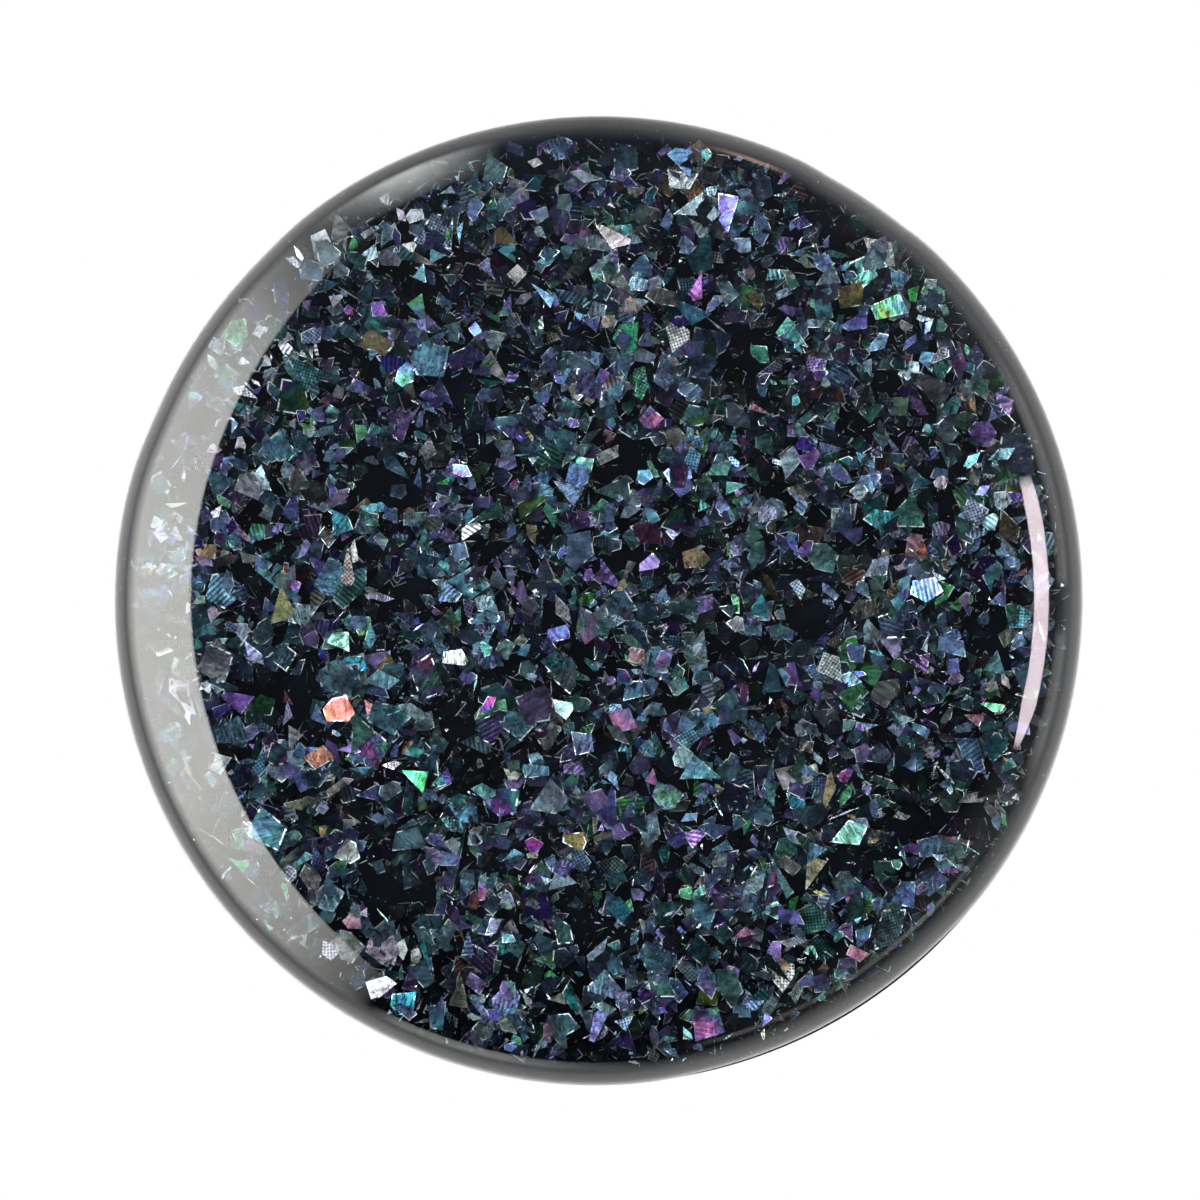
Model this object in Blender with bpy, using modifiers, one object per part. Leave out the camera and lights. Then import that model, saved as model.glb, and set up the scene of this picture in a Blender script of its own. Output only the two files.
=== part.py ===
"""A round pin badge: opal flakes cast in a clear resin dome on a black plate,
with two needle posts and two ball-lock clutches behind it.

The pin stands as it is worn. Its face looks along -Y, +Z is up, and the origin is
the centre of the plate's back face, where the pin meets the cloth. Every piece is
turned about an axis parallel to Y, so each is modelled upright, about its own Z,
under the empty pin_frame, whose local +Z is the world's +Y.
"""

import math

import bmesh
import bpy

MM = 0.001
FIT_GAP = 0.05 * MM  # between pieces that are glued, cast or pressed together
TURN_GAP = 0.03 * MM  # running clearance round each locking ball

# The cast face, measured from the plate's back face towards the front
PLATE_RADIUS = 18.95 * MM
PLATE_THICKNESS = 1.2 * MM
PLATE_EDGE = 0.15 * MM
ENAMEL_THICKNESS = 0.2 * MM
DOME_RADIUS = 19.0 * MM
DOME_RISE = 2.6 * MM  # from the widest ring up to the crown
DOME_TUCK = 0.45 * MM  # height of the curl under the widest ring
DOME_UNDERCUT = 0.3 * MM
DOME_FULLNESS = 5  # exponent: how flat the middle is and how tight the shoulder
DOME_RINGS = 12
FLAKE_BED_RADIUS = 18.3 * MM
FLAKE_BED_DEPTH = 1.25 * MM
# Where the poured edge stops short of the widest ring: direction and spread in
# degrees, counted anticlockwise from +X as seen from the front, and the shortfall
EDGE_DIPS = ((151, 9, 0.19 * MM), (300, 12, 0.17 * MM), (60, 5, 0.07 * MM))

# The posts
POST_SPACING = 19.0 * MM
POST_RADIUS = 0.6 * MM
POST_LENGTH = 8.0 * MM
POST_TIP = 1.3 * MM
POST_GROOVE = 0.09 * MM
FOOT_RADIUS = 2.5 * MM
FOOT_THICKNESS = 0.5 * MM

# A clutch, measured from its cloth side
CLUTCH_STAND_OFF = 0.85 * MM
FLANGE_RADIUS = 5.25 * MM
FLANGE_THICKNESS = 0.7 * MM
BARREL_RADIUS = 3.5 * MM
BARREL_LENGTH = 5.45 * MM
CHAMBER_RADIUS = 2.75 * MM
CHAMBER_FLOOR = 2.6 * MM
CRIMP_RADIUS = 2.45 * MM
MOUTH_RADIUS = 0.72 * MM
MOUTH_LENGTH = 0.55 * MM
CONE_HALF_ANGLE = math.radians(12)
BALL_RADIUS = 0.6 * MM
BALL_HEIGHT = 1.45 * MM
BALLS = 3
HOLE_LEAD = 0.4 * MM  # how far a ball hole is cut into the bore
CAGE_RADIUS = 1.5 * MM
CAGE_BORE = 0.75 * MM
CAGE_FOOT = 0.68 * MM
SEAT_RADIUS = 2.6 * MM
SEAT_HEIGHT = 2.75 * MM
SEAT_THICKNESS = 0.3 * MM
STEM_RADIUS = 1.3 * MM
STEM_TOP = 7.3 * MM
LID_THICKNESS = 0.35 * MM
LID_HEIGHT = 4.8 * MM
LID_BORE = 1.42 * MM
SPRING_WIRE = 0.2 * MM
SPRING_RADIUS = 1.85 * MM
SPRING_TURNS = 3
SPRING_POINTS_PER_TURN = 12
CAP_RADIUS = 4.3 * MM
CAP_RIM_RADIUS = 4.65 * MM
CAP_BORE = 3.62 * MM
CAP_SKIRT = 2.2 * MM
CAP_RIM_THICKNESS = 0.6 * MM
CAP_TOP = 8.0 * MM
CAP_WALL = 0.5 * MM
BOSS_RADIUS = 2.0 * MM
BOSS_FOOT = 5.9 * MM

FACE_STEPS = 64
CLUTCH_STEPS = 24
SHARP_ANGLE = math.radians(35)
TURN_AXIS_TO_Y = (-math.pi / 2, 0, 0)

CLEAR = ("clear_resin", (0.90, 0.93, 0.96), 0.05, 0.0)
OPAL = ("opal_flakes", (0.10, 0.17, 0.22), 0.25, 0.6)
BLACK = ("black_enamel", (0.01, 0.01, 0.012), 0.15, 0.0)
PLATE = ("black_nickel", (0.06, 0.06, 0.065), 0.3, 1.0)
STEEL = ("bright_steel", (0.62, 0.62, 0.60), 0.25, 1.0)
NICKEL = ("nickel_plate", (0.70, 0.68, 0.64), 0.2, 1.0)


def clear_scene():
    for old in list(bpy.data.objects):
        bpy.data.objects.remove(old)


def collection(name):
    made = bpy.data.collections.new(name)
    bpy.context.scene.collection.children.link(made)
    return made


def material(finish):
    name, colour, roughness, metallic = finish
    found = bpy.data.materials.get(name)
    if found:
        return found
    made = bpy.data.materials.new(name)
    made.use_nodes = True
    shader = made.node_tree.nodes["Principled BSDF"]
    shader.inputs["Base Color"].default_value = (*colour, 1)
    shader.inputs["Roughness"].default_value = roughness
    shader.inputs["Metallic"].default_value = metallic
    return made


def place(name, data, finish, parent, location=(0, 0, 0)):
    """One named piece, its mesh or curve set on its parent's axis."""
    made = bpy.data.objects.new(name, data)
    parts.objects.link(made)
    data.materials.append(material(finish))
    made.parent = parent
    made.location = location
    return made


def stand(name, parent=None, location=(0, 0, 0), rotation=(0, 0, 0)):
    """An empty that a group of pieces is placed under."""
    made = bpy.data.objects.new(name, None)
    parts.objects.link(made)
    made.parent = parent
    made.location = location
    made.rotation_euler = rotation
    return made


def smooth(mesh):
    mesh.shade_smooth()
    mesh.set_sharp_from_angle(angle=SHARP_ANGLE)
    return mesh


def turned(profile, steps, ring=False):
    """A mesh of (radius, height) points turned about Z. The profile runs down the
    outer side, and a ring's profile closes on itself up the inner side."""
    outline = bpy.data.meshes.new("profile")
    last = len(profile) - 1
    edges = [(i, i + 1) for i in range(last)]
    if ring:
        edges.append((last, 0))
    outline.from_pydata([(radius, 0, height) for radius, height in profile], edges, [])
    guide = bpy.data.objects.new("profile", outline)
    parts.objects.link(guide)
    screw = guide.modifiers.new("Turn", "SCREW")
    screw.steps = screw.render_steps = steps
    screw.use_merge_vertices = True
    screw.merge_threshold = 0.00001
    graph = bpy.context.evaluated_depsgraph_get()
    mesh = bpy.data.meshes.new_from_object(guide.evaluated_get(graph))
    bpy.data.objects.remove(guide)
    return smooth(mesh)


def primitive(maker, **sizes):
    """A mesh of one of bmesh's primitives."""
    mesh = bpy.data.meshes.new("primitive")
    shape = bmesh.new()
    maker(shape, **sizes)
    shape.to_mesh(mesh)
    shape.free()
    return smooth(mesh)


def arc(centre_radius, centre_height, radius, start, end, steps):
    """Points on a circle in the profile's plane, angles in degrees from +radius."""
    found = []
    for i in range(steps + 1):
        angle = math.radians(start + (end - start) * i / steps)
        found.append(
            (centre_radius + radius * math.cos(angle), centre_height + radius * math.sin(angle))
        )
    return found


# ---------------------------------------------------------------- the cast face


def make_plate():
    """A stamped disc with both edges rounded over."""
    edge = PLATE_RADIUS - PLATE_EDGE
    profile = [(0, 0)]
    profile += arc(edge, -PLATE_EDGE, PLATE_EDGE, 90, 0, 2)
    profile += arc(edge, -PLATE_THICKNESS + PLATE_EDGE, PLATE_EDGE, 0, -90, 2)
    profile.append((0, -PLATE_THICKNESS))
    place("back_plate", turned(profile, FACE_STEPS), PLATE, pin_frame)


def make_disc(name, radius, back, front, finish):
    profile = [(0, back), (radius, back), (radius, front), (0, front)]
    place(name, turned(profile, FACE_STEPS), finish, pin_frame)


def dome_profile(foot, pocket):
    """Down the outer side: the curl under the widest ring, then the superellipse up to
    the crown, which is the profile's lowest point because the face looks away from
    the posts. The inner side is the pocket that holds the flake bed."""
    ring = foot - DOME_TUCK
    profile = [(FLAKE_BED_RADIUS, foot)]
    for degrees in (90, 60, 30, 0):
        lean = math.radians(degrees)
        radius = DOME_RADIUS - DOME_UNDERCUT * (1 - math.cos(lean))
        profile.append((radius, ring + DOME_TUCK * math.sin(lean)))
    for i in range(1, DOME_RINGS + 1):
        rise = math.sin(math.pi / 2 * i / DOME_RINGS)
        radius = DOME_RADIUS * (1 - rise**2) ** (1 / DOME_FULLNESS)
        profile.append((radius, ring - DOME_RISE * rise))
    profile += [(0, pocket), (FLAKE_BED_RADIUS, pocket)]
    return profile


def edge_shortfall(degrees):
    """How far the poured edge stops short in one direction: a sum of bell curves."""
    total = 0
    for middle, spread, depth in EDGE_DIPS:
        away = (degrees - middle + 180) % 360 - 180
        total += depth * math.exp(-0.5 * (away / spread) ** 2)
    return total


def make_dome(foot, pocket):
    """The clear resin, poured over the flakes and down to the plate's edge. Its pocket
    stays round, and its outer side follows the slightly uneven pour."""
    mesh = turned(dome_profile(foot, pocket), FACE_STEPS, ring=True)
    for vertex in mesh.vertices:
        radius = math.hypot(vertex.co.x, vertex.co.y)
        share = (radius - FLAKE_BED_RADIUS) / (DOME_RADIUS - FLAKE_BED_RADIUS)
        if share > 0.01:
            # the frame's local +Y points down on the worn pin
            degrees = math.degrees(math.atan2(-vertex.co.y, vertex.co.x))
            scale = 1 - share * edge_shortfall(degrees) / radius
            vertex.co.x *= scale
            vertex.co.y *= scale
    place("clear_dome", mesh, CLEAR, pin_frame)


def make_face():
    enamel_back = -PLATE_THICKNESS - FIT_GAP
    enamel_front = enamel_back - ENAMEL_THICKNESS
    bed_back = enamel_front - FIT_GAP
    bed_front = bed_back - FLAKE_BED_DEPTH
    make_plate()
    make_disc("black_enamel", PLATE_RADIUS - PLATE_EDGE, enamel_back, enamel_front, BLACK)
    make_disc("flake_bed", FLAKE_BED_RADIUS - FIT_GAP, bed_back, bed_front, OPAL)
    make_dome(bed_back, bed_front - FIT_GAP)


# -------------------------------------------------------------------- the posts


def make_post(side, parent):
    """A headed needle: its foot is welded to the plate, a groove near the tip
    gives the clutch's balls a hold, and the tip is ground to a point."""
    groove = POST_LENGTH - POST_TIP - 1.0 * MM
    waist = POST_RADIUS - POST_GROOVE
    foot_top = FIT_GAP + FOOT_THICKNESS
    profile = [(0, POST_LENGTH), (0.06 * MM, POST_LENGTH - 0.04 * MM)]
    profile.append((POST_RADIUS, POST_LENGTH - POST_TIP))
    profile.append((POST_RADIUS, groove + 0.3 * MM))
    profile.append((waist, groove + 0.15 * MM))
    profile.append((waist, groove - 0.15 * MM))
    profile.append((POST_RADIUS, groove - 0.3 * MM))
    profile.append((POST_RADIUS, foot_top + 0.25 * MM))
    profile.append((POST_RADIUS + 0.25 * MM, foot_top))
    profile.append((FOOT_RADIUS - 0.15 * MM, foot_top))
    profile.append((FOOT_RADIUS, foot_top - 0.15 * MM))
    profile.append((FOOT_RADIUS, FIT_GAP))
    profile.append((0, FIT_GAP))
    place(f"{side}_post", turned(profile, CLUTCH_STEPS), STEEL, parent)


# ------------------------------------------------------------------ the clutches


def cone_radius(height):
    """The clutch body's inner cone, TURN_GAP clear of a ball that is as near the post."""
    at_ball = POST_RADIUS + TURN_GAP + BALL_RADIUS
    at_ball += (BALL_RADIUS + TURN_GAP) / math.cos(CONE_HALF_ANGLE)
    return at_ball + math.tan(CONE_HALF_ANGLE) * (height - BALL_HEIGHT)


def make_clutch_body(side, parent):
    """The flange that presses on the cloth, and the barrel with the locking cone
    inside. The barrel's end is crimped in over the lid."""
    edge = FLANGE_THICKNESS / 2
    profile = [(CRIMP_RADIUS, BARREL_LENGTH)]
    profile += arc(BARREL_RADIUS - 0.25 * MM, BARREL_LENGTH - 0.25 * MM, 0.25 * MM, 90, 0, 2)
    profile.append((BARREL_RADIUS, FLANGE_THICKNESS + 0.2 * MM))
    profile.append((BARREL_RADIUS + 0.2 * MM, FLANGE_THICKNESS))
    profile += arc(FLANGE_RADIUS - edge, edge, edge, 90, -90, 4)
    profile.append((MOUTH_RADIUS + 0.25 * MM, 0))
    profile.append((MOUTH_RADIUS, 0.25 * MM))
    profile.append((MOUTH_RADIUS, MOUTH_LENGTH))
    profile.append((cone_radius(MOUTH_LENGTH), MOUTH_LENGTH))
    profile.append((cone_radius(CHAMBER_FLOOR), CHAMBER_FLOOR))
    profile.append((CHAMBER_RADIUS, CHAMBER_FLOOR))
    lip = LID_HEIGHT + LID_THICKNESS + FIT_GAP
    profile.append((CHAMBER_RADIUS, lip))
    profile.append((CRIMP_RADIUS, lip))
    place(f"{side}_clutch_body", turned(profile, CLUTCH_STEPS, ring=True), NICKEL, parent)


def make_lid(side, parent):
    """The washer that the spring pushes against, held by the crimp."""
    outer = CHAMBER_RADIUS - FIT_GAP
    top = LID_HEIGHT + LID_THICKNESS
    profile = [(LID_BORE, top), (outer, top), (outer, LID_HEIGHT), (LID_BORE, LID_HEIGHT)]
    place(f"{side}_clutch_lid", turned(profile, CLUTCH_STEPS, ring=True), STEEL, parent)


def make_cage(side, parent):
    """The tube that carries the balls. The spring sits on its collar, and its stem
    goes up through the lid into the cap. Each ball has a hole through its wall."""
    seat_top = SEAT_HEIGHT + SEAT_THICKNESS
    profile = [
        (CAGE_BORE, STEM_TOP),
        (STEM_RADIUS, STEM_TOP),
        (STEM_RADIUS, seat_top),
        (SEAT_RADIUS, seat_top),
        (SEAT_RADIUS, SEAT_HEIGHT),
        (CAGE_RADIUS, SEAT_HEIGHT),
        (CAGE_RADIUS, CAGE_FOOT),
        (CAGE_BORE, CAGE_FOOT),
    ]
    cage = place(f"{side}_ball_cage", turned(profile, CLUTCH_STEPS, ring=True), STEEL, parent)
    radius = BALL_RADIUS + TURN_GAP
    sizes = {"cap_ends": True, "segments": 16, "radius1": radius, "radius2": radius}
    for i in range(BALLS):
        mesh = primitive(bmesh.ops.create_cone, depth=CAGE_RADIUS, **sizes)
        hole = bpy.data.objects.new(f"{side}_ball_hole_{i + 1}", mesh)
        cutters.objects.link(hole)
        hole.parent = parent
        away = CAGE_BORE + CAGE_RADIUS / 2 - HOLE_LEAD
        angle = ball_angle(i)
        hole.location = (away * math.cos(angle), away * math.sin(angle), BALL_HEIGHT)
        hole.rotation_euler = (0, math.pi / 2, angle)
        hole.hide_render = True
        hole.display_type = "WIRE"
        cut = cage.modifiers.new(f"Hole {i + 1}", "BOOLEAN")
        cut.operation = "DIFFERENCE"
        cut.object = hole


def ball_angle(i):
    return math.pi / 2 + 2 * math.pi * i / BALLS


def make_balls(side, parent):
    """Steel balls, each TURN_GAP clear of the post and of the cone."""
    away = POST_RADIUS + TURN_GAP + BALL_RADIUS
    for i in range(BALLS):
        sizes = {"u_segments": 12, "v_segments": 8, "radius": BALL_RADIUS}
        mesh = primitive(bmesh.ops.create_uvsphere, **sizes)
        angle = ball_angle(i)
        centre = (away * math.cos(angle), away * math.sin(angle), BALL_HEIGHT)
        place(f"{side}_lock_ball_{i + 1}", mesh, STEEL, parent, centre)


def make_spring(side, parent):
    """An open coil between the cage's collar and the lid, its ends a little flatter
    than its middle."""
    foot = SEAT_HEIGHT + SEAT_THICKNESS + FIT_GAP + SPRING_WIRE / 2
    top = LID_HEIGHT - FIT_GAP - SPRING_WIRE / 2
    count = round(SPRING_TURNS * SPRING_POINTS_PER_TURN)
    curve = bpy.data.curves.new("spring_wire", "CURVE")
    curve.dimensions = "3D"
    curve.bevel_depth = SPRING_WIRE / 2
    curve.bevel_resolution = 2
    curve.use_fill_caps = True
    wire = curve.splines.new("POLY")
    wire.points.add(count)
    for i, point in enumerate(wire.points):
        share = i / count
        angle = 2 * math.pi * SPRING_TURNS * share
        rise = share - math.sin(2 * math.pi * share) / (4 * math.pi)
        height = foot + (top - foot) * rise
        at = (SPRING_RADIUS * math.cos(angle), SPRING_RADIUS * math.sin(angle), height)
        point.co = (*at, 1)
    place(f"{side}_clutch_spring", curve, STEEL, parent)


def make_cap(side, parent):
    """The knob that is pulled to free the balls: a skirt over the barrel, ending in a
    rim for the fingernails, and a boss inside that grips the cage's stem."""
    ceiling = CAP_TOP - CAP_WALL
    rim_top = CAP_SKIRT + CAP_RIM_THICKNESS
    profile = [(0, CAP_TOP)]
    profile += arc(CAP_RADIUS - 0.8 * MM, CAP_TOP - 0.8 * MM, 0.8 * MM, 90, 0, 4)
    profile.append((CAP_RADIUS, rim_top + 0.35 * MM))
    profile.append((CAP_RIM_RADIUS, rim_top))
    profile.append((CAP_RIM_RADIUS, CAP_SKIRT + 0.1 * MM))
    profile.append((CAP_RIM_RADIUS - 0.1 * MM, CAP_SKIRT))
    profile.append((CAP_BORE, CAP_SKIRT))
    profile.append((CAP_BORE, ceiling))
    profile.append((BOSS_RADIUS, ceiling))
    profile.append((BOSS_RADIUS, BOSS_FOOT))
    profile.append((STEM_RADIUS + FIT_GAP, BOSS_FOOT))
    profile.append((STEM_RADIUS + FIT_GAP, ceiling))
    profile.append((0, ceiling))
    place(f"{side}_pull_cap", turned(profile, CLUTCH_STEPS), NICKEL, parent)


def make_clutch(side, post_stand):
    clutch = stand(f"{side}_clutch", post_stand, (0, 0, CLUTCH_STAND_OFF))
    make_clutch_body(side, clutch)
    make_lid(side, clutch)
    make_cage(side, clutch)
    make_balls(side, clutch)
    make_spring(side, clutch)
    make_cap(side, clutch)


clear_scene()
parts = collection("resin_pin")
cutters = collection("cutters")
pin_frame = stand("pin_frame", rotation=TURN_AXIS_TO_Y)
make_face()
for side, sign in (("left", -1), ("right", 1)):
    post_stand = stand(f"{side}_post_axis", pin_frame, (sign * POST_SPACING / 2, 0, 0))
    make_post(side, post_stand)
    make_clutch(side, post_stand)
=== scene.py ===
import math

import bmesh
import bpy
import numpy as np
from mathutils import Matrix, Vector


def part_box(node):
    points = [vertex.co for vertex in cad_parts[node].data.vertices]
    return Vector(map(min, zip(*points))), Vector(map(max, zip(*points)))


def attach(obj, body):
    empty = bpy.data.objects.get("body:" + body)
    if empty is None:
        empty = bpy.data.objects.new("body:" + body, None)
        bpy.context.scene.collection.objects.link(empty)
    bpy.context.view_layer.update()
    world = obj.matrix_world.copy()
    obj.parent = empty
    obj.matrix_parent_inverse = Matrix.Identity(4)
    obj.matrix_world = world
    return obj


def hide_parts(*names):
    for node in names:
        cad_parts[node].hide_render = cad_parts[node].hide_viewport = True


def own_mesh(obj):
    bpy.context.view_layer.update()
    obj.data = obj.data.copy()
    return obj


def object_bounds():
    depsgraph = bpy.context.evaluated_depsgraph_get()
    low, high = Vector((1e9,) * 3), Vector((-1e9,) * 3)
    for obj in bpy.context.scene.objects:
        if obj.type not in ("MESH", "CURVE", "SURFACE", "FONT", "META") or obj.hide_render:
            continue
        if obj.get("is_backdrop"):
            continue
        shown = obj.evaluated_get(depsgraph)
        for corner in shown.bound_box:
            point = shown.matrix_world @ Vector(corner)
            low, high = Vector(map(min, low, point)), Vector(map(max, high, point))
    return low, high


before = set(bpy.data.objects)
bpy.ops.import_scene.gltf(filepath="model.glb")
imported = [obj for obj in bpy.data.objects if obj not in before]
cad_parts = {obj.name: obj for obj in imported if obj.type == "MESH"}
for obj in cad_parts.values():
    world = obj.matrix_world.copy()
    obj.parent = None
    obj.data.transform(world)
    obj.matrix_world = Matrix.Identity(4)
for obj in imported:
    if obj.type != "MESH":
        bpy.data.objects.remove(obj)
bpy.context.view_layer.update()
MM = 0.001


# ---------------------------------------------------------------- the camera
# A long lens, a step back from the pin and a little below and to the right of its
# axis, with the whole face in view and a margin round it.

CAMERA_DISTANCE = 350 * MM
CAMERA_AZIMUTH = math.radians(2.0)
CAMERA_ELEVATION = math.radians(-2.2)
VIEW_WIDTH = 46.87 * MM

dome_low, dome_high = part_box("clear_dome")
aim = Vector((0.13 * MM, (dome_low.y + dome_high.y) / 2, -0.05 * MM))
back = Vector((
    math.sin(CAMERA_AZIMUTH) * math.cos(CAMERA_ELEVATION),
    -math.cos(CAMERA_AZIMUTH) * math.cos(CAMERA_ELEVATION),
    math.sin(CAMERA_ELEVATION),
))
camera = bpy.data.objects.new("camera", bpy.data.cameras.new("camera"))
bpy.context.collection.objects.link(camera)
camera.data.lens = camera.data.sensor_width * CAMERA_DISTANCE / VIEW_WIDTH
camera.data.clip_start = 0.01
camera.data.clip_end = 10
camera.location = aim + back * CAMERA_DISTANCE
camera.rotation_mode = "QUATERNION"
camera.rotation_quaternion = (-back).to_track_quat("-Z", "Y")
bpy.context.scene.camera = camera
bpy.context.scene.view_settings.view_transform = "Standard"


# -------------------------------------------------------------- the surround
# A white room, left dim and bluish where the camera stands, so that the face stays deep
# and only the rim picks up the white. It is brightest overhead and dimmest below. The
# camera itself sees plain white.


def plug(tree, slot, value):
    """Sets a socket, or links a wire to it."""
    if isinstance(value, Wire):
        tree.links.new(value.socket, slot)
    else:
        slot.default_value = value


class Wire:
    """A socket in a node tree. Arithmetic on it adds Math nodes."""

    def __init__(self, tree, socket):
        self.tree = tree
        self.socket = socket

    def math(self, operation, *values):
        node = self.tree.nodes.new("ShaderNodeMath")
        node.operation = operation
        for slot, value in zip(node.inputs, values):
            plug(self.tree, slot, value)
        return Wire(self.tree, node.outputs[0])

    def __add__(self, other):
        return self.math("ADD", self, other)

    def __radd__(self, other):
        return self.math("ADD", other, self)

    def __rsub__(self, other):
        return self.math("SUBTRACT", other, self)

    def __mul__(self, other):
        return self.math("MULTIPLY", self, other)

    def __rmul__(self, other):
        return self.math("MULTIPLY", other, self)

    def __pow__(self, other):
        return self.math("POWER", self, other)

    def __gt__(self, other):
        return self.math("GREATER_THAN", self, other)

    def __lt__(self, other):
        return self.math("LESS_THAN", self, other)

    def sine(self):
        return self.math("SINE", self)


class Nodes:
    """A node tree, and short ways to add to it."""

    def __init__(self, tree):
        self.tree = tree

    def node(self, kind, settings=None, sockets=None, result=0):
        """Any node: its type, its settings, the values or wires of its sockets, and
        the output to carry on with."""
        node = self.tree.nodes.new(kind)
        for word, value in (settings or {}).items():
            setattr(node, word, value)
        for word, value in (sockets or {}).items():
            plug(self.tree, node.inputs[word], value)
        return Wire(self.tree, node.outputs[result])

    def split(self, vector):
        """The three parts of a vector."""
        first = self.node("ShaderNodeSeparateXYZ", {}, {"Vector": vector})
        return [Wire(self.tree, output) for output in first.socket.node.outputs]

    def place(self, centre=(0, 0, 0)):
        """The piece's own coordinates, measured from a point."""
        own = self.node("ShaderNodeTexCoord", result="Object")
        return self.node("ShaderNodeVectorMath", {"operation": "SUBTRACT"}, {0: own, 1: centre})

    def noise(self, at, size, detail=2.0, rough=0.5):
        """Cloudy variation round 0.5, with features of about the given size."""
        sockets = {"Vector": at, "Scale": 1 / size, "Detail": detail, "Roughness": rough}
        return self.node("ShaderNodeTexNoise", {}, sockets, "Fac")

    def spread(self, amount, low, high, start=0.0, end=1.0):
        """Maps low..high of an amount to start..end, and holds the ends."""
        sockets = {"Value": amount, "From Min": low, "From Max": high, "To Min": start, "To Max": end}
        return self.node("ShaderNodeMapRange", {}, sockets, "Result")

    def mix(self, amount, first, second, kind="MIX"):
        """Blends two colours, which are the seventh and eighth sockets of a Mix node."""
        settings = {"data_type": "RGBA", "blend_type": kind}
        colours = [c if isinstance(c, Wire) else (*c, 1) for c in (first, second)]
        return self.node("ShaderNodeMix", settings, {0: amount, 6: colours[0], 7: colours[1]}, 2)


class Finish(Nodes):
    """A material with one Principled shader, and the nodes that feed it."""

    def __init__(self, name, colour, **constants):
        self.material = bpy.data.materials.new(name)
        self.material.use_nodes = True
        super().__init__(self.material.node_tree)
        self.shader = self.tree.nodes["Principled BSDF"]
        self.shader.inputs["Base Color"].default_value = (*colour, 1)
        for word, value in constants.items():
            socket = word.replace("_", " ").title().replace("Ior", "IOR")
            self.shader.inputs[socket].default_value = value

    def feed(self, socket, wire):
        plug(self.tree, self.shader.inputs[socket], wire)

    def bump(self, height, distance, strength=1.0):
        sockets = {"Height": height, "Distance": distance, "Strength": strength}
        self.feed("Normal", self.node("ShaderNodeBump", {}, sockets, "Normal"))


world = bpy.data.worlds.new("studio")
bpy.context.scene.world = world
world.use_nodes = True
sky = Nodes(world.node_tree)
_, along, upward = sky.split(sky.node("ShaderNodeTexCoord", result="Generated"))
seen = sky.node("ShaderNodeLightPath", result="Is Camera Ray")
beside = sky.spread(along, -0.45, 0.0, 0.13, 1.0)
overhead = sky.spread(upward, -0.5, 0.6, 0.12, 1.2)
room = sky.mix(sky.spread(along, -0.5, -0.1), (0.84, 0.90, 1.14), (1.0, 1.0, 1.0))
background = world.node_tree.nodes["Background"]
plug(sky.tree, background.inputs["Color"], sky.mix(seen, room, (1, 1, 1)))
plug(sky.tree, background.inputs["Strength"], seen + (1 - seen) * beside * overhead)


# ----------------------------------------------------------------- the lamps
# Three big softboxes light the flakes: a strong one at the left, and weaker ones at the
# right and overhead. The dome doesn't mirror them; what it mirrors is set out after it.
# Five narrower ones, before and behind the pin, only put a sheen on its metal.

LAMP_DISTANCE = 0.9


def softbox(name, sideways, upwards, width, height, radiance, colour=(1, 1, 1), behind=False):
    """A rectangular softbox of one even radiance, facing the pin from the direction with
    these sideways and upward parts, before the pin or behind it. Its power is
    pi * radiance * area."""
    data = bpy.data.lights.new(name, "AREA")
    data.shape = "RECTANGLE"
    data.size = width
    data.size_y = height
    data.energy = radiance * math.pi * width * height
    data.color = colour
    lamp = bpy.data.objects.new(name, data)
    bpy.context.collection.objects.link(lamp)
    backwards = math.sqrt(1 - sideways**2 - upwards**2) * (1 if behind else -1)
    lamp.location = Vector((sideways, backwards, upwards)) * LAMP_DISTANCE
    lamp.rotation_mode = "QUATERNION"
    lamp.rotation_quaternion = (-lamp.location).to_track_quat("-Z", "Y")
    lamp.visible_camera = False
    return lamp


for lamp in (
    softbox("left_softbox", -0.72, 0.1, 0.55, 1.3, 8.4, (1, 0.985, 0.95)),
    softbox("right_softbox", 0.75, 0.2, 0.35, 1.0, 3.0, (1, 0.95, 0.97)),
    softbox("top_softbox", 0.05, 0.8, 0.9, 0.4, 3.0),
):
    lamp.visible_glossy = False

metal_pieces = bpy.data.collections.new("metal_pieces")
for lamp in (
    softbox("left_sheen", -0.80, 0.25, 0.30, 0.9, 3.0, (1, 0.985, 0.95)),
    softbox("right_sheen", 0.82, -0.05, 0.16, 0.8, 2.4, (1, 0.96, 0.97)),
    softbox("top_sheen", 0.10, 0.85, 0.8, 0.25, 2.0),
    softbox("left_back_sheen", -0.70, 0.62, 0.7, 0.16, 4.0, behind=True),
    softbox("right_back_sheen", 0.70, 0.62, 0.7, 0.16, 4.0, behind=True),
):
    lamp.light_linking.receiver_collection = metal_pieces
    lamp.visible_diffuse = False
    lamp.visible_transmission = False


# ----------------------------------------------------------------- the floor
# A pale sweep of back-lit cloth, well below the pin. It is a shade darker under the pin
# than far away, where it meets the white of the room.

FLOOR_DROP = 250 * MM
FLOOR_REACH = 3.0
corners = [(-1, -1), (1, -1), (1, 1), (-1, 1)]
floor_mesh = bpy.data.meshes.new("floor")
points = [(x * FLOOR_REACH, y * FLOOR_REACH, -FLOOR_DROP) for x, y in corners]
floor_mesh.from_pydata(points, [], [(0, 1, 2, 3)])
floor = bpy.data.objects.new("floor", floor_mesh)
bpy.context.collection.objects.link(floor)
floor.visible_glossy = False
cloth = Finish(
    "pale_cloth", (0.004, 0.004, 0.004), roughness=1.0, specular_ior_level=0.0, emission_strength=1.0,
)
x, y, _ = cloth.split(cloth.place())
away = (x * x + y * y) ** 0.5
far = cloth.spread(away, 0.2, 2.2)
cloth.feed("Emission Color", cloth.mix(far, (0.74, 0.745, 0.75), (1.0, 1.0, 1.0)))
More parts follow.
